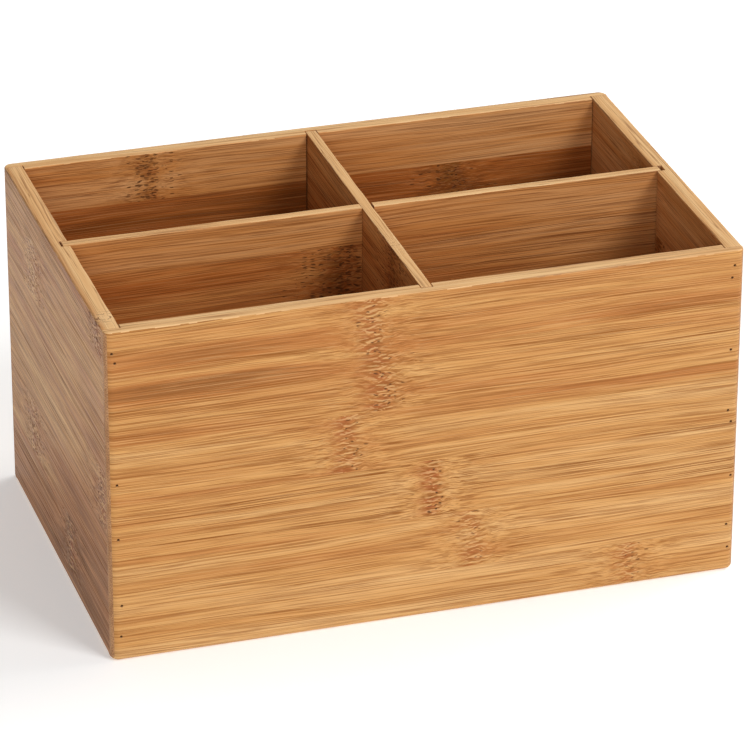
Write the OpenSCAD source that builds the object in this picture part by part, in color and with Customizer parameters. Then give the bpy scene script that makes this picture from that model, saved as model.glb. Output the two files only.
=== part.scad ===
// Open bamboo organiser box with four compartments.
// The front and back panels overlap the side panels in corner rabbets and are
// pinned to them with brads. A floor board sits in grooves in all four walls.
// Two half-lapped dividers stand in upright grooves and lift out of the top.

/* [Case] */
// Outer width, left to right
case_w = 235; // [200:1:300]
// Outer depth, front to back
case_d = 150; // [130:1:200]
// Outer height
case_h = 129; // [128:1:160]
// Thickness of the four walls
wall_t = 6.5; // [6.5:0.25:8]
// Radius of the upright outer corners
corner_r = 3; // [1:0.25:3.25]
// Radius along the outer top edges
top_edge_r = 0.8; // [0.3:0.1:1.5]
// Radius along the outer bottom edges
base_edge_r = 1.6; // [0.5:0.1:2]

/* [Corner joints] */
// Thickness of the front or back panel outside its corner rabbet
lip_t = 3.4; // [3.2:0.1:3.5]
// Open gap between a side panel and the shoulder of its rabbet
shoulder_gap = 0.25; // [0.1:0.05:0.4]
// Glue line between the end of a side panel and the lip
glue_gap = 0.05; // [0:0.05:0.2]

/* [Floor] */
// Thickness of the floor board
floor_t = 4; // [3:0.5:6]
// Height of the floor board's underside
floor_lift = 5; // [3:0.5:10]
// Depth of the floor groove in each wall
floor_groove_depth = 3; // [2:0.1:3]
// Height of the floor groove beyond the board's thickness
floor_groove_play = 0.2; // [0:0.05:0.5]
// Gap between the floor board's edge and the bottom of its groove
floor_edge_gap = 0.3; // [0.1:0.1:0.8]

/* [Dividers] */
// Thickness of both dividers
divider_t = 4; // [3:0.25:5]
// Width of a divider groove beyond the divider's thickness
divider_play = 0.4; // [0.2:0.1:0.8]
// Depth of the divider grooves in the walls
divider_groove_depth = 3.2; // [2:0.1:3.5]
// Middle of the long divider, behind the middle of the case
long_divider_y = 0.7; // [-10:0.1:10]
// Middle of the cross divider, right of the middle of the case
cross_divider_x = -0.3; // [-10:0.1:10]
// Gap beyond the long divider's left end, in its groove
long_gap_left = 0.7; // [0.2:0.1:1.5]
// Gap beyond the long divider's right end, in its groove
long_gap_right = 1.5; // [0.2:0.1:1.6]
// Gap beyond each end of the cross divider, in its groove
cross_gap = 0.45; // [0.2:0.05:1.5]
// Width of a half-lap slot beyond the divider's thickness
lap_play = 0.7; // [0.3:0.1:1]
// How far the long divider's slot is cut right of the cross divider
lap_offset = 0.25; // [0:0.05:0.3]
// Height left between the two slots' ends when assembled
lap_relief = 0.6; // [0.2:0.1:1]

/* [Brads] */
// Shank diameter
brad_d = 0.8; // [0.7:0.1:0.9]
// Head diameter
brad_head_d = 1; // [1:0.1:1.6]
// Head thickness
brad_head_t = 0.6; // [0.4:0.1:1]
// Whole length
brad_l = 16; // [10:1:20]
// Length of the point
brad_tip_l = 1.6; // [1:0.1:2]
// Depth of the heads below the panel's face
brad_sink = 0.4; // [0.2:0.1:0.6]

/* [Hidden] */

$fn = 64;
brad_fn = 32;
// Tool overrun past a face, so that no cut ends on one
over = 1;

// Brads along each corner, as [inset from the end of the panel, height]
left_brads = [[3.5, 9.7], [4, 22], [3.3, 48.5], [3.3, 70], [3.5, 117.3], [2.5, 121]];
right_brads = [[2.8, 9.5], [3.5, 19], [2.5, 39], [3.2, 61], [4.5, 65.7], [4.3, 90],
               [4.8, 118.6], [4, 123.3]];

// Faces of the case
outer_x = case_w / 2;
outer_y = case_d / 2;
inner_x = outer_x - wall_t;
inner_y = outer_y - wall_t;
floor_top = floor_lift + floor_t;

// Dividers
groove_w = divider_t + divider_play;
slot_w = divider_t + lap_play;
groove_end_x = inner_x + divider_groove_depth;
groove_end_y = inner_y + divider_groove_depth;
divider_h = case_h - floor_top;
lap_z = floor_top + divider_h / 2;
long_left = -groove_end_x + long_gap_left;
long_right = groove_end_x - long_gap_right;
cross_end = groove_end_y - cross_gap;
slot_x = cross_divider_x + lap_offset;

panel_color = [0.82, 0.60, 0.37];
side_color = [0.74, 0.53, 0.33];
floor_color = [0.70, 0.47, 0.27];
divider_color = [0.84, 0.63, 0.40];
brad_color = [0.30, 0.24, 0.19];

// Box from one corner to the opposite one
module block(low, high) {
    translate(low) cube(high - low);
}

// What a corner of radius r loses from a square corner at the origin
module corner_waste(r) {
    difference() {
        translate([-over, -over]) square(r + over);
        translate([r, r]) circle(r);
    }
}

// Rectangle on the X axis with its own radius at the bottom and the top
module eased_rect(w, h, r_bottom, r_top) {
    difference() {
        translate([-w / 2, 0]) square([w, h]);
        for (side = [0, 1]) mirror([side, 0]) translate([-w / 2, 0]) {
            corner_waste(r_bottom);
            translate([0, h]) mirror([0, 1]) corner_waste(r_top);
        }
    }
}

// Outer form of the case: rounded upright corners, eased top and bottom edges
module case_envelope() {
    intersection() {
        linear_extrude(case_h) translate([0, -outer_y])
            eased_rect(case_w, case_d, corner_r, corner_r);
        rotate([90, 0, 0]) linear_extrude(case_d + 2 * over, center = true)
            eased_rect(case_w, case_h, base_edge_r, top_edge_r);
        rotate([90, 0, 90]) linear_extrude(case_w + 2 * over, center = true)
            eased_rect(case_d, case_h, base_edge_r, top_edge_r);
    }
}

// One brad at the front of the case, driven in along +Y
module brad(x, z) {
    translate([x, -outer_y + brad_sink, z]) rotate([-90, 0, 0]) {
        cylinder(d = brad_head_d, h = brad_head_t, $fn = brad_fn);
        cylinder(d = brad_d, h = brad_l - brad_tip_l, $fn = brad_fn);
        translate([0, 0, brad_l - brad_tip_l])
            cylinder(d1 = brad_d, d2 = brad_d / 4, h = brad_tip_l, $fn = brad_fn);
    }
}

// The hole that a brad makes, open at the panel's face
module brad_hole(x, z) {
    brad(x, z);
    translate([x, -outer_y + brad_sink, z]) rotate([90, 0, 0])
        cylinder(d = brad_head_d, h = brad_sink + over, $fn = brad_fn);
}

// Every brad, or hole, of the front's left or right corner
module left_row() {
    for (b = left_brads) brad(-outer_x + b[0], b[1]);
}
module right_row() {
    for (b = right_brads) brad(outer_x - b[0], b[1]);
}
module front_brad_holes() {
    for (b = left_brads) brad_hole(-outer_x + b[0], b[1]);
    for (b = right_brads) brad_hole(outer_x - b[0], b[1]);
}

// Grooves in the walls: one slab for the floor board, and two upright ones,
// open at the top, for each divider's ends
module grooves() {
    reach = floor_groove_depth;
    block([-inner_x - reach, -inner_y - reach, floor_lift],
          [inner_x + reach, inner_y + reach, floor_top + floor_groove_play]);
    block([-groove_end_x, long_divider_y - groove_w / 2, -over],
          [groove_end_x, long_divider_y + groove_w / 2, case_h + over]);
    block([cross_divider_x - groove_w / 2, -groove_end_y, -over],
          [cross_divider_x + groove_w / 2, groove_end_y, case_h + over]);
}

// The front wall with its rabbets and brad holes, before its grooves are cut
module end_wall() {
    difference() {
        intersection() {
            block([-outer_x, -outer_y, 0], [outer_x, -inner_y, case_h]);
            case_envelope();
        }
        for (side = [0, 1]) mirror([side, 0, 0])
            block([-outer_x - over, -outer_y + lip_t, -over],
                  [-inner_x + shoulder_gap, -inner_y + over, case_h + over]);
        front_brad_holes();
    }
}

module front_panel() {
    color(panel_color) difference() {
        end_wall();
        grooves();
    }
}

module back_panel() {
    color(panel_color) difference() {
        mirror([0, 1, 0]) end_wall();
        grooves();
    }
}

// A side panel between the lips of the front and back panels; side is -1 or 1
module side_wall(side) {
    end_y = outer_y - lip_t - glue_gap;
    difference() {
        intersection() {
            translate([side * (outer_x - wall_t / 2), 0, case_h / 2])
                cube([wall_t, 2 * end_y, case_h], center = true);
            case_envelope();
        }
        front_brad_holes();
        mirror([0, 1, 0]) front_brad_holes();
        grooves();
    }
}

module left_panel() {
    color(side_color) side_wall(-1);
}

module right_panel() {
    color(side_color) side_wall(1);
}

module floor_board() {
    reach = floor_groove_depth - floor_edge_gap;
    color(floor_color)
        block([-inner_x - reach, -inner_y - reach, floor_lift],
              [inner_x + reach, inner_y + reach, floor_top]);
}

// Left to right, slotted from its top edge
module long_divider() {
    color(divider_color) difference() {
        block([long_left, long_divider_y - divider_t / 2, floor_top],
              [long_right, long_divider_y + divider_t / 2, case_h]);
        block([slot_x - slot_w / 2, -inner_y, lap_z - lap_relief / 2],
              [slot_x + slot_w / 2, inner_y, case_h + over]);
    }
}

// Front to back, slotted from its bottom edge, so its top edge runs through
module cross_divider() {
    color(divider_color) difference() {
        block([cross_divider_x - divider_t / 2, -cross_end, floor_top],
              [cross_divider_x + divider_t / 2, cross_end, case_h]);
        block([-inner_x, long_divider_y - slot_w / 2, floor_top - over],
              [inner_x, long_divider_y + slot_w / 2, lap_z + lap_relief / 2]);
    }
}

module front_left_brads() {
    color(brad_color) left_row();
}

module front_right_brads() {
    color(brad_color) right_row();
}

module back_left_brads() {
    color(brad_color) mirror([0, 1, 0]) left_row();
}

module back_right_brads() {
    color(brad_color) mirror([0, 1, 0]) right_row();
}

front_panel();
back_panel();
left_panel();
right_panel();
floor_board();
long_divider();
cross_divider();
front_left_brads();
front_right_brads();
back_left_brads();
back_right_brads();
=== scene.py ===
import math
import random

import bmesh
import bpy
from mathutils import Euler, Matrix, Vector, noise


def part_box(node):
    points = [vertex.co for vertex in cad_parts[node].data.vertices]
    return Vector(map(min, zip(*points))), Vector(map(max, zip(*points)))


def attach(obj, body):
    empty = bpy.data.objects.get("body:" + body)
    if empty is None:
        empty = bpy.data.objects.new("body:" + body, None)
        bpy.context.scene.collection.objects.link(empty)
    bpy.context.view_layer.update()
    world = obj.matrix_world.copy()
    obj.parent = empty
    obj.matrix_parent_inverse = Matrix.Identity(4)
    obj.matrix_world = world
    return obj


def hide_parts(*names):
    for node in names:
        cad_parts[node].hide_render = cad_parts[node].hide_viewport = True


# An open bamboo box with two lift-out dividers. Boards are modelled in millimetres, at their places
# in the frame, and dress() turns them into metres. The front is at -Y.
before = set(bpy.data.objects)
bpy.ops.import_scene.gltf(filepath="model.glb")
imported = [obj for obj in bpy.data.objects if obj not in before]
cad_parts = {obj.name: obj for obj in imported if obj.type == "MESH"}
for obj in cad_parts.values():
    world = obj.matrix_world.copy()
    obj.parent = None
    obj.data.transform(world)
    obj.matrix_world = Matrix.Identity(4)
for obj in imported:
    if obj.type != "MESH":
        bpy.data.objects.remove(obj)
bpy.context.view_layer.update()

# ---------------------------------------------------------------- sizes, in millimetres
MM = 0.001
X, Y, Z = 0, 1, 2


def box_mm(node):
    low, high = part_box(node)
    return low / MM, high / MM


front_low, front_high = box_mm("front_panel")
side_low, side_high = box_mm("left_panel")
board_low, board_high = box_mm("floor_board")
long_low, long_high = box_mm("long_divider")
cross_low, cross_high = box_mm("cross_divider")

OUTER_X, OUTER_Y = front_high.x, -front_low.y
HEIGHT = front_high.z
WALL = side_high.x - side_low.x
INNER_X, INNER_Y = OUTER_X - WALL, OUTER_Y - WALL
# The joints' own sizes are those of the CAD, which the nodes' boxes don't show
GLUE = 0.05
LIP = OUTER_Y - side_high.y - GLUE
SHOULDER = 0.25
GROOVE_PLAY = 0.4
GROOVE_DEPTH = 3.2
LONG_Y = (long_low.y + long_high.y) / 2
CROSS_X = (cross_low.x + cross_high.x) / 2
DIVIDER = long_high.y - long_low.y
LAP_SLOT = DIVIDER + 0.7
LAP_SHIFT = 0.25
LAP_Z = (long_low.z + HEIGHT) / 2
LAP_RELIEF = 0.3
FLOOR_GROOVE = 3.0
FLOOR_PLAY = 0.2
CORNER_R = 3.0
# Brad holes, a little wider than the brads
HEAD_R = 0.52
HEAD_T = 0.6
SHANK_R = 0.42
BRAD_L = 16.0
BRAD_SINK = 0.4
BRAD_SIDES = 20
# How far a cutter runs past what it cuts, along the board and out of it
PAST_BOARD = 50.0
PAST_FACE = 9.0
# How far edges are eased, at the top and at the base of each stretch of a board's plan
OUTER_TOP, OUTER_BASE = 0.8, 1.6
END_TOP = 0.5
INNER_TOP, INNER_BASE = 0.45, 0.3
MOUTH_TOP, MOUTH_BASE = 0.3, 0.2
SHOULDER_EASE = 0.2
HIDDEN_EASE = 0.15
BOARD_TOP, BOARD_BASE = 0.35, 0.25
FLOOR_EASE = 0.3
# Steps of an arc at an outer corner and at a groove's mouth or a board's corner
CORNER_STEPS = 9
MOUTH_STEPS = 3
# Faces are sliced about this small, so that strips and bands show: finest up the front and back
SLICE = 6.0
END_WALL_SLICE = 2.6
SIDE_WALL_SLICE = 5.0
# Least part of a unit normal along the grain that makes a face end grain
END_GRAIN = 0.7
# Edges that turn by more than this many degrees stay sharp
SHARP = 32


# ---------------------------------------------------------------- meshes
def smooth_noise(x, seed):
    """Slow wander along a line, from -1 to 1."""
    return noise.noise(Vector((x, seed * 7.3, 1.7)))


class Outline:
    """A plan outline drawn anticlockwise, each stretch with its own easing at the top and the base."""

    # About how long each step of a wandering line is
    STEP = 3.0
    # Sine of the smallest turn that counts as a corner when the outline is moved inwards
    CORNER = 0.35

    def __init__(self):
        self.points = []
        self.tops = []
        self.bases = []

    def at(self, x, y):
        self.points.append(Vector((x, y)))
        return self

    def line(self, x, y, top, base, wander=0.0, seed=1):
        """A straight stretch. With wander, its top easing drifts by up to about twice that share."""
        start = self.points[-1]
        end = Vector((x, y))
        count = max(1, round((end - start).length / self.STEP)) if wander else 1
        for i in range(1, count + 1):
            p = start.lerp(end, i / count)
            drift = 1 + wander * smooth_noise((p.x + p.y) * 0.09, seed) * 2
            self.tops.append(top * max(0.25, drift))
            self.bases.append(base)
            self.points.append(p)
        return self

    def arc(self, centre, radius, start, end, top, base, steps):
        for i in range(1, steps + 1):
            angle = math.radians(start + (end - start) * i / steps)
            self.tops.append(top)
            self.bases.append(base)
            self.points.append(Vector((centre[0] + radius * math.cos(angle),
                                       centre[1] + radius * math.sin(angle))))
        return self

    def close(self):
        """Drops the last point, which is the first one again."""
        self.points.pop()
        return self

    def inset(self, insets):
        """The outline with each stretch moved inwards by its own amount."""
        count = len(self.points)
        moved = []
        for i, p in enumerate(self.points):
            before = p - self.points[i - 1]
            after = self.points[(i + 1) % count] - p
            n0 = Vector((before.y, -before.x)).normalized()
            n1 = Vector((after.y, -after.x)).normalized()
            d0, d1 = insets[i - 1], insets[i]
            cross = n0.x * n1.y - n0.y * n1.x
            if abs(cross) < self.CORNER:
                moved.append(p - (n0 + n1).normalized() * (d0 + d1) / 2)
            else:
                moved.append(p + Vector((n0.y * d1 - n1.y * d0, n1.x * d0 - n0.x * d1)) / cross)
        return moved


def loft(outline, low, high, steps=5):
    """A closed solid on a plan outline from z = low to z = high, its edges eased in so many steps."""
    mesh = bmesh.new()
    rings = []
    count = len(outline.points)
    for end in ("base", "top"):
        eases = outline.bases if end == "base" else outline.tops
        for k in range(steps + 1):
            angle = math.pi / 2 * (k if end == "base" else steps - k) / steps
            points = outline.inset([e * (1 - math.sin(angle)) for e in eases])
            ring = []
            for i, p in enumerate(points):
                ease = (eases[i - 1] + eases[i]) / 2 * (1 - math.cos(angle))
                z = low + ease if end == "base" else high - ease
                ring.append(mesh.verts.new((p.x, p.y, z)))
            rings.append(ring)
    for lower, upper in zip(rings, rings[1:]):
        for i in range(count):
            j = (i + 1) % count
            mesh.faces.new((lower[i], lower[j], upper[j], upper[i]))
    mesh.faces.new(list(reversed(rings[0])))
    mesh.faces.new(rings[-1])
    return mesh


def to_object(mesh, name):
    """An object in the scene that holds the mesh, which is used up."""
    data = bpy.data.meshes.new(name)
    mesh.to_mesh(data)
    mesh.free()
    obj = bpy.data.objects.new(name, data)
    bpy.context.scene.collection.objects.link(obj)
    return obj


def block(low, high):
    """A box from one corner to the opposite one."""
    mesh = bmesh.new()
    bmesh.ops.create_cube(mesh, size=1)
    for v in mesh.verts:
        v.co = [(h if c > 0 else l) for c, l, h in zip(v.co, low, high)]
    return mesh


def brad_cutter(places, sign):
    """Stepped holes driven in from the front (sign -1) or the back (sign 1) face."""
    mesh = bmesh.new()
    face = sign * (OUTER_Y + 1)
    head = sign * (OUTER_Y - BRAD_SINK - HEAD_T)
    tip = sign * (OUTER_Y - BRAD_SINK - BRAD_L)
    for x, z in places:
        rings = []
        for radius, y in ((HEAD_R, face), (HEAD_R, head), (SHANK_R, head), (SHANK_R, tip)):
            rings.append([mesh.verts.new((x + radius * math.cos(2 * math.pi * i / BRAD_SIDES), y,
                                          z + radius * math.sin(2 * math.pi * i / BRAD_SIDES)))
                          for i in range(BRAD_SIDES)])
        for lower, upper in zip(rings, rings[1:]):
            for i in range(BRAD_SIDES):
                j = (i + 1) % BRAD_SIDES
                mesh.faces.new((lower[i], lower[j], upper[j], upper[i]))
        mesh.faces.new(rings[0])
        mesh.faces.new(rings[-1])
    bmesh.ops.recalc_face_normals(mesh, faces=mesh.faces)
    return mesh


def cut(mesh, cutters):
    """The mesh with each cutter taken out of it."""
    piece = to_object(mesh, "cut_piece")
    tools = [to_object(c, "cut_tool") for c in cutters]
    for tool in tools:
        change = piece.modifiers.new("cut", "BOOLEAN")
        change.operation = "DIFFERENCE"
        change.solver = "EXACT"
        change.object = tool
    graph = bpy.context.evaluated_depsgraph_get()
    result = bmesh.new()
    result.from_object(piece, graph)
    for obj in tools + [piece]:
        data = obj.data
        bpy.data.objects.remove(obj)
        bpy.data.meshes.remove(data)
    return result


def slice_at(mesh, axis, places):
    """Splits the faces along planes square to an axis, so that they can hold local detail."""
    normal = [0, 0, 0]
    normal[axis] = 1
    for place in places:
        point = [0, 0, 0]
        point[axis] = place
        everything = mesh.verts[:] + mesh.edges[:] + mesh.faces[:]
        bmesh.ops.bisect_plane(mesh, geom=everything, plane_co=point, plane_no=normal, dist=1e-4)


def steps_between(low, high, step):
    """Even places between low and high, about a step apart, without the two ends."""
    count = max(1, round((high - low) / step))
    return [low + (high - low) * i / count for i in range(1, count)]


# ---------------------------------------------------------------- strips
# A board is glued up from bamboo strips. Each strip is
# (lower edge, node's place along the grain, node's half width, darkness, flecks, tone).
PITCH = 22.4
# The place of a node that is nowhere on the board
FAR = 900.0


def made_up_strips(low, high, along, seed):
    """Plausible strips for a face whose own cannot be seen; along is half its length."""
    dice = random.Random(seed)
    edge = low - dice.uniform(0, PITCH)
    strips = []
    while edge < high:
        node = dice.uniform(-along * 1.1, along * 1.1)
        strips.append((edge, node, dice.uniform(4, 7), dice.uniform(0.4, 0.8),
                       dice.uniform(0.1, 0.4), dice.uniform(-0.5, 0.5)))
        edge += PITCH
    return strips


FRONT_STRIPS = [
    (0.0, 76.5, 5.0, 0.55, 0.08, 0.38),
    (17.5, 16.5, 5.5, 0.55, 0.08, 0.55),
    (40.0, 1.5, 4.0, 1.10, 0.10, 0.42),
    (62.5, -30.0, 5.0, 0.80, 0.10, 0.00),
    (85.0, -17.5, 6.0, 0.85, 0.10, -0.15),
    (107.3, -21.5, 5.5, 0.75, 0.12, -0.30),
]
LEFT_STRIPS = [
    (0.0, FAR, 5.0, 0.5, 0.4, -0.1),
    (6.0, -17.0, 5.5, 0.80, 0.3, -0.3),
    (28.0, 37.0, 7.0, 0.45, 0.5, 0.0),
    (50.0, -68.0, 7.0, 0.40, 0.4, 0.1),
    (73.0, FAR, 5.0, 0.5, 0.4, 0.1),
    (95.0, 30.0, 7.0, 0.30, 0.5, 0.0),
    (117.0, -65.0, 5.0, 0.70, 0.7, -0.1),
]
BACK_INNER_STRIPS = [
    (-1.0, 10.0, 5.0, 0.6, 0.5, -0.2),
    (21.0, -80.0, 5.0, 0.6, 0.5, 0.1),
    (43.0, 30.0, 5.0, 0.6, 0.5, -0.2),
    (65.5, -30.0, 5.0, 0.6, 0.5, 0.1),
    (88.0, 55.0, 6.0, 0.80, 0.5, -1.5),
    (110.0, -63.5, 3.6, 0.45, 1.2, 1.05),
]
LONG_FRONT_STRIPS = [
    (3.0, 60.0, 5.0, 0.6, 0.5, -0.2),
    (25.0, -60.0, 5.0, 0.6, 0.5, 0.0),
    (48.0, 40.0, 5.0, 0.6, 0.5, -0.3),
    (70.0, -50.0, 5.0, 0.6, 0.5, -0.1),
    (93.0, -12.0, 6.8, 0.60, 0.95, -0.25),
    (115.0, FAR, 5.0, 0.15, 0.5, 0.55),
]
CROSS_LEFT_STRIPS = [
    (-5.0, 30.0, 5.0, 0.6, 0.5, 0.0),
    (17.0, -30.0, 5.0, 0.6, 0.5, -0.1),
    (40.0, 50.0, 5.0, 0.6, 0.5, -0.1),
    (62.0, -10.0, 5.0, 0.6, 0.5, -0.2),
    (84.5, FAR, 5.0, 1.1, 0.5, -0.25),
    (107.0, -38.0, 6.5, 1.0, 0.6, 0.3),
]
NO_NODES = [(-500.0, FAR, 5.0, 0.5, 0.4, 0.0)]
LEFT_TOP = [(-500.0, -62.5, 4.5, 0.40, 1.0, 1.0)]
CROSS_TOP = [(-500.0, -34.0, 9.0, 0.15, 0.35, 0.0)]

# Darker bands along the grain, some of which are painted light and painted shade: (across, from, to, half
# height, strength). Below 0 they are lighter.
FRONT_BANDS_AND_PAINTED_LIGHT = [
    (105.5, -120, -45, 2.2, 1.0),
    (101.5, -120, -70, 2.0, 0.5),
    (112.0, 62, 120, 4.5, 0.6),
    (105.0, 70, 120, 3.0, 0.5),
    (87.0, -120, -60, 2.2, 0.55),
    (84.5, 30, 120, 1.6, 0.55),
    (61.5, 40, 120, 1.4, 0.45),
    (82.5, -60, -25, 2.0, 0.5),
    (38.0, -110, -35, 2.2, 0.5),
    (38.5, 40, 118, 2.2, 0.45),
    (31.5, -60, -5, 1.6, 0.4),
    (15.0, -118, -88, 3.2, 0.6),
    (9.0, 20, 100, 1.5, 0.25),
    (117.0, -125, -60, 8.0, 0.7),
    (69.0, -5, 25, 1.5, 0.3),
    # The last two reach across the whole board and are painted light: its right-hand part lighter and its
    # left-hand part darker.
    (60.0, 55, 130, 60.0, -0.25),
    (60.0, -130, -60, 60.0, 0.12),
]
# Back wall's inner face: the lighter band along the top of its right-hand part is painted light, and the
# dark band beside the cross divider is painted shade.
BACK_PAINTED_LIGHT_AND_SHADE = [
    (118.0, 40, 130, 11.0, -0.70),
    (99.0, -32, -2, 8.5, 1.20),
]
# Right wall's inner face: the lighter band along its upper part is painted light.
RIGHT_PAINTED_LIGHT = [(112.0, -130, 130, 17.0, -1.00)]
# Left outer face: painted shade, darker towards the base and the front, a painted reflection of the box's
# own shadow on the floor.
LEFT_PAINTED_SHADE = [
    (0.0, -130, 130, 24.0, 0.90),
    (32.0, -130, 0, 20.0, 1.00),
    (75.0, -130, -35, 32.0, 0.45),
]
# Long divider's front face: the two lighter bands, over its right-hand part, are painted light.
LONG_BANDS_AND_PAINTED_LIGHT = [
    (113.0, 55, 130, 14.0, -0.60),
    (104.0, -125, -30, 9.0, 0.30),
    (102.0, 0, 130, 12.0, -0.20),
]


def band_and_painted_light_at(bands_and_painted_light, along, across):
    """How much darker the bands, painted light and painted shade among them, make one place. They wander
    a little and fade out at their ends.
    """
    total = 0.0
    for centre, start, end, half, strength in bands_and_painted_light:
        wander = 1.2 * smooth_noise(along * 0.03, centre)
        rise = 1 / (1 + math.exp(-(along - start) / 9)) - 1 / (1 + math.exp(-(along - end) / 9))
        total += strength * rise * math.exp(-((across - centre - wander) / half) ** 2)
    return total


class Face:
    """What a side of a board shows: its strips, its wood, a seed that sets its grain, and its bands,
    which on some faces are painted light and painted shade.
    """

    def __init__(self, strips, wood, seed, bands_and_painted_light=()):
        self.strips = strips
        self.wood = wood
        self.seed = seed
        self.bands_and_painted_light = bands_and_painted_light

    def strip(self, across):
        """The strip at one place across the grain, and its number. Below them all it is the first."""
        index = max([0] + [i for i, s in enumerate(self.strips) if across >= s[0]])
        return self.strips[index], index


# The parts of a board, as its material slots: its two broad sides, its edges, its end grain
LOW, HIGH, EDGE, END = 0, 1, 2, 3


def dress(mesh, name, grain, width, faces, edges):
    """Names each face's part of the board, and gives it the coordinates its bamboo grows in.

    grain and width are axes. faces are the board's low and high sides across its thickness, and
    edges its low and high ones across its width.
    """
    thick = X + Y + Z - grain - width
    bmesh.ops.dissolve_degenerate(mesh, dist=1e-5, edges=mesh.edges)
    bmesh.ops.recalc_face_normals(mesh, faces=mesh.faces)
    layers = {key: mesh.loops.layers.float_vector.new(key) for key in ("grain", "node", "look")}
    middle = (min(v.co[thick] for v in mesh.verts) + max(v.co[thick] for v in mesh.verts)) / 2
    for face in mesh.faces:
        face.smooth = True
        normal, centre = face.normal, face.calc_center_median()
        if abs(normal[grain]) > END_GRAIN:
            face.material_index = END
            side = faces[0]
            across = width
        elif abs(normal[width]) > abs(normal[thick]):
            face.material_index = EDGE
            side = edges[0 if normal[width] < 0 else 1]
            across = thick
        else:
            face.material_index = LOW if normal[thick] < 0 else HIGH
            side = faces[face.material_index]
            across = width
        strip, index = side.strip(centre[across])
        _, node, half, dark, fleck, tone = strip
        seed = side.seed * 13.7 + index * 5.3
        for loop in face.loops:
            co = loop.vert.co
            along = co[grain]
            second = co[across] - (middle if across == thick else 0)
            if face.material_index == END:
                along, second = co[width], co[thick] - middle
            loop[layers["grain"]] = (along - node, second, seed)
            loop[layers["node"]] = (half, dark, fleck)
            # The bands, with painted light and painted shade among them, go into the tone.
            band_and_painted_light = band_and_painted_light_at(side.bands_and_painted_light, co[grain], co[width]) if side.bands_and_painted_light else 0.0
            loop[layers["look"]] = (tone, band_and_painted_light, along)
    for v in mesh.verts:
        v.co *= MM
    board = to_object(mesh, name)
    board.data.set_sharp_from_angle(angle=math.radians(SHARP))
    for material in (faces[LOW].wood, faces[HIGH].wood, edge_wood, end_wood):
        board.data.materials.append(material)
    return board


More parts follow.
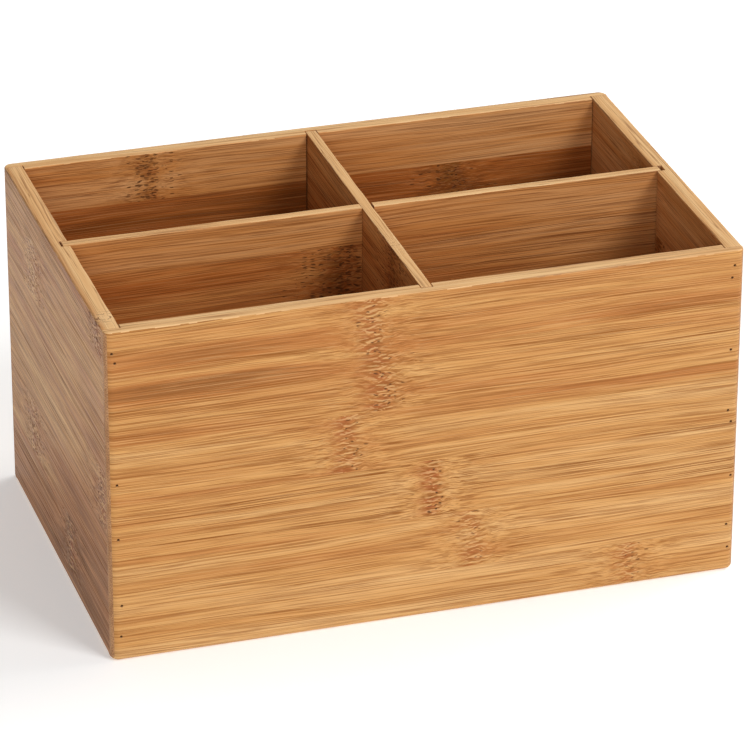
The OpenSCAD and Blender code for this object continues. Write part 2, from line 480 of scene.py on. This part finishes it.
# ---------------------------------------------------------------- materials
class Graph:
    """A short way to write a material's nodes."""

    def __init__(self, name):
        self.material = bpy.data.materials.new(name)
        self.material.use_nodes = True
        self.tree = self.material.node_tree
        self.tree.nodes.clear()
        self.shader = self.tree.nodes.new("ShaderNodeBsdfPrincipled")
        output = self.tree.nodes.new("ShaderNodeOutputMaterial")
        self.tree.links.new(self.shader.outputs[0], output.inputs[0])

    def put(self, socket, value):
        if isinstance(value, bpy.types.NodeSocket):
            self.tree.links.new(value, socket)
        else:
            socket.default_value = value

    def math(self, operation, a, b=0.0, c=0.0, clamp=False):
        node = self.tree.nodes.new("ShaderNodeMath")
        node.operation = operation
        node.use_clamp = clamp
        for socket, value in zip(node.inputs, (a, b, c)):
            self.put(socket, value)
        return node.outputs[0]

    def add(self, a, b):
        return self.math("ADD", a, b)

    def sub(self, a, b):
        return self.math("SUBTRACT", a, b)

    def mul(self, a, b):
        return self.math("MULTIPLY", a, b)

    def centred(self, value, gain):
        """A value around a half as one around zero, times a gain."""
        return self.mul(self.sub(value, 0.5), gain)

    def bell(self, square, rate):
        """Falls from 1 towards 0 as the square of a distance grows."""
        return self.math("POWER", 2.718, self.mul(square, -rate))

    def vector(self, x, y, z):
        node = self.tree.nodes.new("ShaderNodeCombineXYZ")
        for socket, value in zip(node.inputs, (x, y, z)):
            self.put(socket, value)
        return node.outputs[0]

    def parts(self, attribute):
        """The three numbers that dress() gave each corner of a face under this name."""
        source = self.tree.nodes.new("ShaderNodeAttribute")
        source.attribute_name = attribute
        node = self.tree.nodes.new("ShaderNodeSeparateXYZ")
        self.put(node.inputs[0], source.outputs["Vector"])
        return node.outputs

    def noise(self, x, y, z, detail, rough, bend=0.0):
        node = self.tree.nodes.new("ShaderNodeTexNoise")
        self.put(node.inputs["Vector"], self.vector(x, y, z))
        node.inputs["Scale"].default_value = 1.0
        node.inputs["Detail"].default_value = detail
        node.inputs["Roughness"].default_value = rough
        node.inputs["Distortion"].default_value = bend
        return node.outputs["Fac"]

    def cloud(self, scale, detail):
        """Noise in the object's own coordinates."""
        place = self.tree.nodes.new("ShaderNodeTexCoord")
        node = self.tree.nodes.new("ShaderNodeTexNoise")
        self.put(node.inputs["Vector"], place.outputs["Object"])
        node.inputs["Scale"].default_value = scale
        node.inputs["Detail"].default_value = detail
        return node.outputs["Fac"]

    def dots(self, x, y, z):
        """The distance to the nearest of many scattered dots, and a random number for that dot."""
        node = self.tree.nodes.new("ShaderNodeTexVoronoi")
        node.voronoi_dimensions = "2D"
        self.put(node.inputs["Vector"], self.vector(self.add(x, self.mul(z, 7.3)), y, 0.0))
        node.inputs["Scale"].default_value = 1.0
        node.inputs["Randomness"].default_value = 1.0
        pick = self.tree.nodes.new("ShaderNodeSeparateXYZ")
        self.put(pick.inputs[0], node.outputs["Color"])
        return node.outputs["Distance"], pick.outputs[0]

    def step(self, value, low, high, out_low=0.0, out_high=1.0):
        """A smooth rise from out_low to out_high, or a fall if low is the greater."""
        node = self.tree.nodes.new("ShaderNodeMapRange")
        node.interpolation_type = "SMOOTHSTEP"
        for socket, v in zip(node.inputs, (value, low, high, out_low, out_high)):
            self.put(socket, v)
        return node.outputs[0]

    def mix(self, factor, a, b):
        node = self.tree.nodes.new("ShaderNodeMix")
        node.data_type = "RGBA"
        self.put(node.inputs[0], factor)
        self.put(node.inputs[6], a)
        self.put(node.inputs[7], b)
        return node.outputs[2]

    def ramp(self, factor, stops):
        node = self.tree.nodes.new("ShaderNodeValToRGB")
        ramp = node.color_ramp
        while len(ramp.elements) < len(stops):
            ramp.elements.new(0.5)
        for element, (place, colour) in zip(ramp.elements, stops):
            element.position = place
            element.color = colour
        self.put(node.inputs[0], factor)
        return node.outputs[0]

    def bump(self, height, distance, strength):
        """Relief on the surface; distance is in metres."""
        node = self.tree.nodes.new("ShaderNodeBump")
        node.inputs["Strength"].default_value = strength
        node.inputs["Distance"].default_value = distance
        self.put(node.inputs["Height"], height)
        self.put(self.shader.inputs["Normal"], node.outputs[0])

    def set(self, **values):
        """Sets the shader's sockets by name, with _ for a space, and returns the material."""
        for name, value in values.items():
            self.put(self.shader.inputs[name.replace("_", " ")], value)
        return self.material


def srgb(r, g, b):
    """A screen colour, 0 to 255, as the linear colour that shaders use."""
    def linear(c):
        c /= 255
        return c / 12.92 if c <= 0.04045 else ((c + 0.055) / 1.055) ** 2.4
    return (linear(r), linear(g), linear(b), 1.0)


STRAW = srgb(216, 173, 116)
TAN = srgb(199, 145, 81)
AMBER = srgb(178, 112, 52)
RUST = srgb(158, 84, 34)
CARAMEL = srgb(140, 86, 34)
FIBRE = srgb(138, 80, 20)
DARK_FIBRE = srgb(116, 66, 22)
UMBER = srgb(94, 54, 22)
SOOT = srgb(84, 46, 16)


def redder(colour):
    """The colour as used on the faces inside the box: redder and more saturated than outside."""
    return (colour[0], colour[1] * 0.82, colour[2] * 0.76, 1.0)


def bamboo_face(name, fibre, depth, darker, streaks, inside=False):
    """The broad face of a strip: fibres along the grain, tone bands, and the mark of its node.

    fibre is the colour of its dark lines and depth their contrast, darker shifts its tone, and
    streaks is the contrast of its narrow bands. inside gives it the redder colours of the inner faces.
    """
    g = Graph(name)
    along, across, seed = g.parts("grain")
    half, dark, fleck = g.parts("node")
    tone, band_and_painted_light, run = g.parts("look")
    stain = redder if inside else tuple
    smudge, painted_highlight_share, deeper = (CARAMEL, 0.15, 0.42) if inside else (RUST, 0.55, 0.22)

    # The node: how near, with a ragged middle line
    ragged = g.centred(g.noise(0.0, g.mul(across, 0.30), seed, 3, 0.7), 9.0)
    offset = g.add(along, ragged)
    near = g.math("DIVIDE", offset, half)
    near_square = g.mul(near, near)
    core = g.bell(near_square, 1.0)
    halo = g.bell(near_square, 0.25)

    # Fibres get short and bend close to the node
    short = g.mul(g.math("TANH", g.mul(along, 0.08)), 2.0)
    slow = g.add(g.mul(run, 0.015), short)
    sway = g.centred(g.noise(g.mul(run, 0.009), g.mul(across, 0.06), seed, 1, 0.5), 3.5)
    knot = g.centred(g.noise(g.mul(along, 0.22), g.mul(across, 0.36), seed, 1, 0.5), 3.0)
    lane = g.add(g.add(across, sway), g.mul(knot, halo))

    def fibres(along_scale, across_scale, shift, detail, rough):
        """Noise drawn out along the grain; a greater scale across it makes finer lines."""
        return g.noise(g.mul(slow, along_scale), g.mul(lane, across_scale), g.add(seed, shift),
                       detail, rough)

    # Tone: wide bands, narrower ones, and a drift between yellow and red
    wide = fibres(0.35, 0.15, 0.0, 2, 0.5)
    middle = fibres(0.50, 0.50, 3.1, 2, 0.55)
    thread = fibres(0.9, 1.9, 7.7, 1, 0.45)
    fine = fibres(2.0, 2.5, 6.1, 1, 0.5)
    hair = fibres(3.0, 5.0, 9.9, 2, 0.6)
    level = g.add(g.centred(wide, 1.1), g.centred(middle, streaks))
    level = g.add(g.add(level, 0.43 + darker), g.mul(tone, -0.22))
    # The face's bands, painted light and painted shade on some faces, darken or lighten the tone.
    level = g.add(level, g.mul(band_and_painted_light, g.step(thread, 0.30, 0.60, 0.18, 0.48)))
    level = g.add(level, g.mul(g.mul(core, dark), deeper))
    colour = g.ramp(level, [(0.0, stain(STRAW)), (0.36, stain(TAN)),
                            (0.72, stain(AMBER)), (1.0, stain(CARAMEL))])

    # Dark fibres: tapering threads, thin wandering lines, and fine hairs between them
    uneven = g.step(fibres(0.8, 0.35, 2.6, 2, 0.6), 0.36, 0.62, 0.30, 1.0)
    uneven = g.mul(uneven, g.add(g.mul(dark, 0.95), 0.35))
    line = g.mul(g.step(thread, 0.560, 0.615), uneven)
    colour = g.mix(g.mul(line, min(0.95, 0.60 * depth)), colour, stain(fibre))
    creek = fibres(0.45, 1.1, 4.8, 1, 0.45)
    creek_line = g.mul(g.step(g.math("ABSOLUTE", g.sub(creek, 0.52)), 0.030, 0.004), uneven)
    colour = g.mix(g.mul(creek_line, min(0.95, 0.62 * depth)), colour, stain(fibre))
    colour = g.mix(g.mul(g.step(fine, 0.54, 0.61), 0.42 * depth), colour, stain(fibre))
    colour = g.mix(g.mul(g.step(fine, 0.44, 0.35), 0.24), colour, stain(STRAW))
    colour = g.mix(g.mul(g.step(hair, 0.54, 0.68), 0.52 * depth), colour, stain(fibre))
    colour = g.mix(g.mul(g.step(hair, 0.45, 0.30), 0.16), colour, stain(STRAW))

    # Node marks: rusty streaks up to the node's line, and scales with painted shade on their undersides
    # and painted highlights on their tops
    before = g.mul(g.step(offset, 4.0, 0.0), g.bell(near_square, 0.7))
    streak = g.noise(g.mul(along, 0.10), g.mul(across, 0.55), g.add(seed, 1.3), 2, 0.6)
    streak = g.mul(g.mul(g.step(streak, 0.42, 0.56), before), dark)
    colour = g.mix(g.mul(streak, 0.95), colour, smudge)
    u, v = g.mul(along, 0.24), g.mul(across, 0.62)
    scale_here = g.noise(u, v, g.add(seed, 5.1), 1, 0.5, 0.6)
    scale_above = g.noise(u, g.add(v, 0.30), g.add(seed, 5.1), 1, 0.5, 0.6)
    # The scales' relief is also painted into the colour: painted highlights on their tops and painted
    # shade on their undersides.
    painted_emboss = g.sub(scale_here, scale_above)
    painted_scale_shade = g.mul(g.step(painted_emboss, 0.02, 0.09), core)
    painted_scale_highlight = g.mul(g.step(painted_emboss, -0.02, -0.09), core)
    colour = g.mix(g.mul(painted_scale_highlight, painted_highlight_share), colour, stain(STRAW))
    colour = g.mix(g.mul(painted_scale_shade, g.mul(dark, 0.75)), colour, stain(fibre))

    # Flecks: short dark dashes in loose columns, and a few round pits just past the line
    dash, dash_pick = g.dots(g.mul(along, 0.30), g.mul(lane, 1.50), seed)
    spread = g.bell(near_square, 0.30)
    columns = g.step(g.noise(g.mul(along, 0.30), 0.5, seed, 1, 0.5), 0.35, 0.60, 0.35, 1.0)
    wanted = g.mul(g.mul(spread, fleck), g.mul(columns, 0.85))
    chosen = g.step(g.sub(wanted, dash_pick), -0.01, 0.03)
    dash = g.mul(g.step(dash, 0.34, 0.22), chosen)
    colour = g.mix(g.mul(dash, 0.88), colour, UMBER)
    pit, pit_pick = g.dots(g.mul(offset, 0.45), g.mul(across, 0.65), g.add(seed, 3.3))
    pit = g.mul(g.step(pit, 0.26, 0.12), g.step(g.math("ABSOLUTE", g.sub(offset, 1.5)), 3.2, 2.2))
    pit = g.mul(g.mul(pit, g.step(pit_pick, 0.70, 0.72)), dark)
    colour = g.mix(pit, colour, SOOT)

    # Relief: hairs and lines of a few hundredths of a millimetre, deeper flecks, pits and scales
    height = g.sub(g.mul(hair, 0.35), g.add(g.mul(line, 0.5), g.mul(creek_line, 0.5)))
    height = g.sub(height, g.add(g.mul(dash, 1.4), g.mul(pit, 2.2)))
    g.bump(g.add(height, g.mul(g.mul(scale_here, core), 6.0)), 0.00012, 0.7)
    shine = g.add(g.step(thread, 0.35, 0.7, 0.42, 0.50), g.centred(hair, 0.12))
    dull = g.math("ADD", g.mul(g.add(line, creek_line), 0.4), g.add(dash, pit), clamp=True)
    return g.set(Base_Color=colour, Roughness=g.add(shine, g.mul(dull, 0.35)),
                 Specular_IOR_Level=0.18 if inside else 0.28)


def bamboo_edge(name):
    """The narrow edge of a board, where its layers show as lines along the grain."""
    g = Graph(name)
    along, across, seed = g.parts("grain")
    half, dark, fleck = g.parts("node")
    tone, _, run = g.parts("look")
    near = g.math("DIVIDE", along, half)
    core = g.bell(g.mul(near, near), 1.0)
    sway = g.centred(g.noise(g.mul(run, 0.020), g.mul(across, 0.15), seed, 2, 0.5), 2.4)
    knot = g.centred(g.noise(g.mul(along, 0.35), g.mul(across, 0.6), seed, 2, 0.6), 2.5)
    lane = g.add(g.add(across, sway), g.mul(knot, core))

    # Tone and layers
    wide = g.noise(g.mul(run, 0.012), g.mul(lane, 0.35), seed, 2, 0.5)
    layer = g.noise(g.mul(run, 0.010), g.mul(lane, 0.7), g.add(seed, 2.2), 1, 0.4)
    thread = g.noise(g.mul(run, 0.03), g.mul(lane, 2.4), g.add(seed, 4.4), 2, 0.55)
    level = g.add(0.40, g.centred(wide, 1.6))
    colour = g.ramp(level, [(0.0, srgb(228, 189, 136)), (0.5, srgb(216, 169, 114)),
                            (1.0, srgb(194, 140, 85))])
    rim = g.mul(g.step(g.add(across, g.centred(wide, 2.0)), -0.8, -2.6), tone)
    colour = g.mix(g.mul(rim, 0.65), colour, srgb(186, 126, 70))
    line = g.step(g.math("ABSOLUTE", g.sub(layer, 0.5)), 0.032, 0.0)
    colour = g.mix(g.mul(line, 0.7), colour, srgb(140, 88, 46))
    colour = g.mix(g.mul(g.step(thread, 0.54, 0.64), 0.45), colour, srgb(150, 98, 54))
    colour = g.mix(g.mul(g.step(thread, 0.44, 0.34), 0.35), colour, srgb(234, 196, 146))

    # The node: broken rings on a paler patch
    bend = g.noise(g.mul(along, 0.5), g.mul(across, 0.7), g.add(seed, 6.6), 1, 0.5)
    reach = g.math("SQRT", g.add(g.mul(along, along), g.mul(g.mul(across, across), 0.35)))
    ring = g.math("FRACT", g.add(g.mul(reach, 0.55), g.mul(bend, 1.3)))
    arc = g.mul(g.step(g.math("ABSOLUTE", g.sub(ring, 0.5)), 0.13, 0.04), g.step(bend, 0.42, 0.52))
    arc = g.mul(arc, core)
    colour = g.mix(g.mul(core, g.mul(dark, 0.6)), colour, srgb(232, 196, 150))
    colour = g.mix(g.mul(arc, fleck), colour, UMBER)
    g.bump(g.sub(g.add(g.mul(thread, 0.5), g.mul(line, -0.6)), arc), 0.00012, 0.5)
    shine = g.step(thread, 0.3, 0.7, 0.40, 0.52)
    return g.set(Base_Color=colour, Roughness=shine, Specular_IOR_Level=0.22)


def bamboo_end(name):
    """End grain: cut fibre bundles as fine dark specks, with dust in the pores."""
    g = Graph(name)
    _, across, seed = g.parts("grain")
    run = g.parts("look")[2]
    cloud = g.noise(g.mul(run, 0.12), g.mul(across, 0.4), seed, 2, 0.6)
    colour = g.ramp(cloud, [(0.25, srgb(196, 146, 98)), (0.75, srgb(160, 110, 68))])
    spot, pick = g.dots(g.mul(run, 1.6), g.mul(across, 2.2), seed)
    pores = g.step(spot, 0.42, 0.18)
    colour = g.mix(g.mul(pores, 0.6), colour, UMBER)
    g.bump(g.mul(pores, -1.0), 0.00010, 0.5)
    shine = g.step(cloud, 0.3, 0.7, 0.50, 0.62)
    return g.set(Base_Color=colour, Roughness=shine, Specular_IOR_Level=0.35)


def brad_steel(name):
    """Darkened steel, scuffed where the hammer met it."""
    g = Graph(name)
    scuff = g.cloud(2400.0, 3.0)
    colour = g.ramp(scuff, [(0.3, srgb(62, 32, 12)), (0.62, srgb(92, 58, 30)),
                            (0.8, srgb(120, 90, 58))])
    g.bump(scuff, 0.00003, 0.5)
    return g.set(Base_Color=colour, Metallic=0.15, Roughness=g.step(scuff, 0.3, 0.8, 0.70, 0.50),
                 Specular_IOR_Level=0.15)


def studio_paper(name):
    """White paper with a slight glow of its own, so that it comes out as white as the photograph's."""
    g = Graph(name)
    colour = g.ramp(g.cloud(6.0, 2.0), [(0.3, (0.90, 0.90, 0.895, 1)), (0.7, (0.92, 0.92, 0.92, 1))])
    return g.set(Base_Color=colour, Roughness=0.7, Specular_IOR_Level=0.1,
                 Emission_Color=(1, 1, 1, 1), Emission_Strength=0.26)


edge_wood = bamboo_edge("bamboo_edge")
end_wood = bamboo_end("bamboo_end")
front_wood = bamboo_face("bamboo_front", FIBRE, 1.1, 0.01, 0.2)
side_wood = bamboo_face("bamboo_side", DARK_FIBRE, 1.3, 0.02, 0.55)
inner_wood = bamboo_face("bamboo_inner", DARK_FIBRE, 0.9, 0.04, 0.7, inside=True)
divider_wood = bamboo_face("bamboo_divider", DARK_FIBRE, 1.1, 0.03, 0.6, inside=True)
steel = brad_steel("brad_steel")


# ---------------------------------------------------------------- boards
def end_wall_outline(sign):
    """The front panel's plan (sign -1), or the back's (sign 1), with its rabbets and groove.

    The back's is drawn at the front too, with its groove on the other side of the middle, and
    make_end_wall() turns it half round.
    """
    y_lip = OUTER_Y - LIP
    half_groove = (DIVIDER + GROOVE_PLAY) / 2
    mouth = 0.5
    left, right = CROSS_X - half_groove, CROSS_X + half_groove
    if sign > 0:
        left, right = -right, -left
    groove_y = INNER_Y + GROOVE_DEPTH
    shoulder_x = INNER_X - SHOULDER
    o = Outline()
    o.at(-OUTER_X + CORNER_R, -OUTER_Y)
    o.line(OUTER_X - CORNER_R, -OUTER_Y, OUTER_TOP, OUTER_BASE, 0.08, 3 + sign)
    o.arc((OUTER_X - CORNER_R, -OUTER_Y + CORNER_R), CORNER_R, -90, 0,
          OUTER_TOP, OUTER_BASE, CORNER_STEPS)
    o.line(OUTER_X, -y_lip, END_TOP, OUTER_BASE)
    o.line(shoulder_x, -y_lip, HIDDEN_EASE, HIDDEN_EASE)
    o.line(shoulder_x, -INNER_Y, SHOULDER_EASE, SHOULDER_EASE)
    o.line(right + mouth, -INNER_Y, INNER_TOP, INNER_BASE, 0.5, 5 + sign)
    o.arc((right + mouth, -INNER_Y - mouth), mouth, 90, 180, MOUTH_TOP, MOUTH_BASE, MOUTH_STEPS)
    o.line(right, -groove_y, HIDDEN_EASE, HIDDEN_EASE)
    o.line(left, -groove_y, HIDDEN_EASE, HIDDEN_EASE)
    o.line(left, -INNER_Y - mouth, HIDDEN_EASE, HIDDEN_EASE)
    o.arc((left - mouth, -INNER_Y - mouth), mouth, 0, 90, MOUTH_TOP, MOUTH_BASE, MOUTH_STEPS)
    o.line(-shoulder_x, -INNER_Y, INNER_TOP, INNER_BASE, 0.5, 9 + sign)
    o.line(-shoulder_x, -y_lip, SHOULDER_EASE, SHOULDER_EASE)
    o.line(-OUTER_X, -y_lip, HIDDEN_EASE, HIDDEN_EASE)
    o.line(-OUTER_X, -OUTER_Y + CORNER_R, END_TOP, OUTER_BASE)
    o.arc((-OUTER_X + CORNER_R, -OUTER_Y + CORNER_R), CORNER_R, 180, 270,
          OUTER_TOP, OUTER_BASE, CORNER_STEPS)
    return o.close()


def side_wall_outline(sign):
    """The right panel's plan (sign 1); the left's is the same turned half round (sign -1)."""
    end = side_high.y
    half_groove = (DIVIDER + GROOVE_PLAY) / 2
    mouth = 0.6
    centre = LONG_Y * sign
    low, high = centre - half_groove, centre + half_groove
    groove_x = INNER_X + GROOVE_DEPTH
    o = Outline()
    o.at(OUTER_X, -end)
    o.line(OUTER_X, end, OUTER_TOP, OUTER_BASE, 0.08, 13 + sign)
    o.line(INNER_X, end, HIDDEN_EASE, HIDDEN_EASE)
    o.line(INNER_X, high + mouth, INNER_TOP, INNER_BASE, 0.6, 15 + sign)
    o.arc((INNER_X + mouth, high + mouth), mouth, 180, 270, MOUTH_TOP, MOUTH_BASE, MOUTH_STEPS)
    o.line(groove_x, high, HIDDEN_EASE, HIDDEN_EASE)
    o.line(groove_x, low, HIDDEN_EASE, HIDDEN_EASE)
    o.line(INNER_X + mouth, low, HIDDEN_EASE, HIDDEN_EASE)
    o.arc((INNER_X + mouth, low - mouth), mouth, 90, 180, MOUTH_TOP, MOUTH_BASE, MOUTH_STEPS)
    o.line(INNER_X, -end, INNER_TOP, INNER_BASE, 0.6, 17 + sign)
    o.line(OUTER_X, -end, HIDDEN_EASE, HIDDEN_EASE)
    return o.close()


def plain_outline(low, high, top, base, wander, seed):
    """A board's plan with slightly rounded upright corners."""
    r = 0.3
    o = Outline()
    o.at(low.x + r, low.y)
    o.line(high.x - r, low.y, top, base, wander, seed)
    o.arc((high.x - r, low.y + r), r, -90, 0, top, base, MOUTH_STEPS)
    o.line(high.x, high.y - r, top, base, wander, seed + 1)
    o.arc((high.x - r, high.y - r), r, 0, 90, top, base, MOUTH_STEPS)
    o.line(low.x + r, high.y, top, base, wander, seed + 2)
    o.arc((low.x + r, high.y - r), r, 90, 180, top, base, MOUTH_STEPS)
    o.line(low.x, low.y + r, top, base, wander, seed + 3)
    o.arc((low.x + r, low.y + r), r, 180, 270, top, base, MOUTH_STEPS)
    return o.close()


def brad_places(sign):
    """Where the brads are, read off the CAD nodes: one (x, z) for each separate solid."""
    side = "front" if sign < 0 else "back"
    places = []
    for corner in ("left", "right"):
        mesh = bmesh.new()
        mesh.from_mesh(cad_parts[f"{side}_{corner}_brads"].data)
        bmesh.ops.remove_doubles(mesh, verts=mesh.verts, dist=1e-6)
        left = set(mesh.verts)
        while left:
            group, queue = set(), [left.pop()]
            while queue:
                v = queue.pop()
                group.add(v)
                for e in v.link_edges:
                    w = e.other_vert(v)
                    if w in left:
                        left.discard(w)
                        queue.append(w)
            xs = [v.co.x for v in group]
            zs = [v.co.z for v in group]
            places.append(((min(xs) + max(xs)) / 2 / MM, (min(zs) + max(zs)) / 2 / MM))
        mesh.free()
    return sorted(places)


def floor_cutter():
    """The slab that the floor's groove takes out of every wall."""
    reach_x, reach_y = INNER_X + FLOOR_GROOVE, INNER_Y + FLOOR_GROOVE
    return block((-reach_x, -reach_y, board_low.z), (reach_x, reach_y, board_high.z + FLOOR_PLAY))


def turned(mesh, opposite):
    """The mesh, turned half round about Z if it is for the opposite wall."""
    if opposite:
        bmesh.ops.rotate(mesh, verts=mesh.verts, matrix=Matrix.Rotation(math.pi, 3, "Z"))
    return mesh


def strip_edges(*sides):
    """Where strips meet on any of the sides."""
    return sorted({s[0] for side in sides for s in side.strips if s[0] > 0.5})


def make_end_wall(sign, name, outer, inner, edges):
    """The front board (sign -1) or the back one (sign 1)."""
    mesh = turned(loft(end_wall_outline(sign), 0, HEIGHT), sign > 0)
    mesh = cut(mesh, [floor_cutter(), brad_cutter(brad_places(sign), sign)])
    slice_at(mesh, Z, strip_edges(outer, inner) + steps_between(0, HEIGHT, END_WALL_SLICE))
    slice_at(mesh, X, steps_between(-OUTER_X, OUTER_X, SLICE))
    faces = [outer, inner] if sign < 0 else [inner, outer]
    return dress(mesh, name, X, Z, faces, edges)


def make_side_wall(sign, name, outer, inner, edges):
    """The left board (sign -1) or the right one (sign 1)."""
    mesh = turned(loft(side_wall_outline(sign), 0, HEIGHT), sign < 0)
    brad_holes = [brad_cutter(brad_places(end), end) for end in (-1, 1)]
    mesh = cut(mesh, [floor_cutter()] + brad_holes)
    slice_at(mesh, Z, strip_edges(outer, inner) + steps_between(0, HEIGHT, SIDE_WALL_SLICE))
    slice_at(mesh, Y, steps_between(-OUTER_Y, OUTER_Y, SLICE))
    faces = [inner, outer] if sign > 0 else [outer, inner]
    return dress(mesh, name, Y, Z, faces, edges)


def finish_board(piece, node, body):
    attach(piece, body)
    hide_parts(node)


def plain_edge(seed):
    """An edge of a board on which no node shows."""
    return Face(NO_NODES, edge_wood, seed)


front = make_end_wall(-1, "front_board", Face(FRONT_STRIPS, front_wood, 2, FRONT_BANDS_AND_PAINTED_LIGHT),
                      Face(made_up_strips(0, HEIGHT, OUTER_X, 21), inner_wood, 3),
                      [plain_edge(41), plain_edge(43)])
finish_board(front, "front_panel", "case")

back = make_end_wall(1, "back_board", Face(made_up_strips(0, HEIGHT, OUTER_X, 22), front_wood, 5),
                     Face(BACK_INNER_STRIPS, inner_wood, 6, BACK_PAINTED_LIGHT_AND_SHADE),
                     [plain_edge(47), plain_edge(53)])
finish_board(back, "back_panel", "case")

left = make_side_wall(-1, "left_board", Face(LEFT_STRIPS, side_wood, 8, LEFT_PAINTED_SHADE),
                      Face(made_up_strips(0, HEIGHT, OUTER_Y, 23), inner_wood, 9),
                      [plain_edge(59), Face(LEFT_TOP, edge_wood, 61)])
finish_board(left, "left_panel", "case")

right = make_side_wall(1, "right_board", Face(made_up_strips(0, HEIGHT, OUTER_Y, 24), side_wood, 11),
                       Face(made_up_strips(0, HEIGHT, OUTER_Y, 25), inner_wood, 12, RIGHT_PAINTED_LIGHT),
                       [plain_edge(67), plain_edge(71)])
finish_board(right, "right_panel", "case")


def make_floor():
    mesh = loft(plain_outline(board_low, board_high, FLOOR_EASE, FLOOR_EASE, 0, 1),
                board_low.z, board_high.z, 2)
    strips = made_up_strips(board_low.y, board_high.y, OUTER_X, 28)
    slice_at(mesh, Y, [s[0] for s in strips])
    faces = [Face(strips, inner_wood, 14), Face(strips, inner_wood, 15)]
    return dress(mesh, "floor_sheet", X, Y, faces, [plain_edge(31), plain_edge(37)])


def make_long_divider():
    """Left to right, slotted from its top edge."""
    mesh = loft(plain_outline(long_low, long_high, BOARD_TOP, BOARD_BASE, 0.6, 71), long_low.z, HEIGHT)
    slot_x = CROSS_X + LAP_SHIFT
    mesh = cut(mesh, [block((slot_x - LAP_SLOT / 2, -PAST_BOARD, LAP_Z - LAP_RELIEF),
                            (slot_x + LAP_SLOT / 2, PAST_BOARD, HEIGHT + PAST_FACE))])
    front_side = Face(LONG_FRONT_STRIPS, divider_wood, 17, LONG_BANDS_AND_PAINTED_LIGHT)
    back_side = Face(made_up_strips(0, HEIGHT, OUTER_X, 26), divider_wood, 18)
    slice_at(mesh, Z, strip_edges(front_side, back_side) + steps_between(long_low.z, HEIGHT, SLICE))
    slice_at(mesh, X, steps_between(long_low.x, long_high.x, SLICE))
    return dress(mesh, "long_board", X, Z, [front_side, back_side], [plain_edge(73), plain_edge(79)])


def make_cross_divider():
    """Front to back, slotted from its bottom edge, so that its top edge runs through."""
    mesh = loft(plain_outline(cross_low, cross_high, BOARD_TOP, BOARD_BASE, 0.7, 81), cross_low.z, HEIGHT)
    mesh = cut(mesh, [block((-PAST_BOARD, LONG_Y - LAP_SLOT / 2, -PAST_FACE),
                            (PAST_BOARD, LONG_Y + LAP_SLOT / 2, LAP_Z + LAP_RELIEF))])
    left_side = Face(CROSS_LEFT_STRIPS, divider_wood, 19)
    right_side = Face(made_up_strips(0, HEIGHT, OUTER_Y, 27), divider_wood, 20)
    slice_at(mesh, Z, strip_edges(left_side, right_side) + steps_between(cross_low.z, HEIGHT, SLICE))
    slice_at(mesh, Y, steps_between(cross_low.y, cross_high.y, SLICE))
    return dress(mesh, "cross_board", Y, Z, [left_side, right_side],
                 [plain_edge(83), Face(CROSS_TOP, edge_wood, 89)])


finish_board(make_floor(), "floor_board", "case")
finish_board(make_long_divider(), "long_divider", "long_divider")
finish_board(make_cross_divider(), "cross_divider", "cross_divider")

for side in ("front", "back"):
    for corner in ("left", "right"):
        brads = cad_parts[f"{side}_{corner}_brads"]
        for material_slot in brads.material_slots:
            material_slot.material = steel


# ---------------------------------------------------------------- stage, lights, camera
# Half the floor's side, and how far it lies below the base, so that the two never coincide
STAGE_HALF = 6.0
STAGE_DROP = 0.0002


def stage_floor():
    mesh = bmesh.new()
    bmesh.ops.create_grid(mesh, x_segments=8, y_segments=8, size=STAGE_HALF)
    floor = to_object(mesh, "studio_floor")
    floor.data.materials.append(studio_paper("studio_paper"))
    floor.location.z = -STAGE_DROP


def soft_light(name, place, aim, size, power, colour=(1, 1, 1)):
    data = bpy.data.lights.new(name, "AREA")
    data.shape = "RECTANGLE"
    data.size, data.size_y = size
    data.energy = power
    data.color = colour
    obj = bpy.data.objects.new(name, data)
    obj.location = place
    obj.rotation_euler = (Vector(aim) - Vector(place)).to_track_quat("-Z", "Y").to_euler()
    bpy.context.scene.collection.objects.link(obj)


stage_floor()
middle = Vector((0, 0, 0.06))
soft_light("key", (2.00, 0.62, 2.45), middle, (2.0, 2.0), 54, (1, 0.98, 0.95))
soft_light("right_front", (1.60, -2.40, 2.50), middle, (1.5, 1.5), 72)
soft_light("left_front", (-1.30, -2.90, 1.30), middle, (1.8, 1.3), 29.5)

world = bpy.data.worlds.new("studio")
world.use_nodes = True
sky = world.node_tree.nodes["Background"]
sky.inputs["Color"].default_value = (1, 1, 1, 1)
sky.inputs["Strength"].default_value = 0.30
bpy.context.scene.world = world
bpy.context.scene.view_settings.view_transform = "Standard"
bpy.context.scene.view_settings.look = "None"

# The photograph's viewpoint, fitted to the straight edges of the box: metres, degrees, millimetres
CAMERA_PLACE = (-0.4707, -1.5174, 0.8510)
YAW, PITCH_DOWN, ROLL = 17.339, 26.448, 0.136
LENS, SENSOR = 231.4, 36.0
camera_data = bpy.data.cameras.new("camera")
camera_data.lens = LENS
camera_data.sensor_width = SENSOR
camera = bpy.data.objects.new("camera", camera_data)
turn = Euler((math.radians(90 - PITCH_DOWN), 0, math.radians(-YAW))).to_matrix()
turn = turn @ Matrix.Rotation(math.radians(ROLL), 3, "Z")
camera.matrix_world = Matrix.Translation(CAMERA_PLACE) @ turn.to_4x4()
bpy.context.scene.collection.objects.link(camera)
bpy.context.scene.camera = camera

bpy.context.view_layer.update()
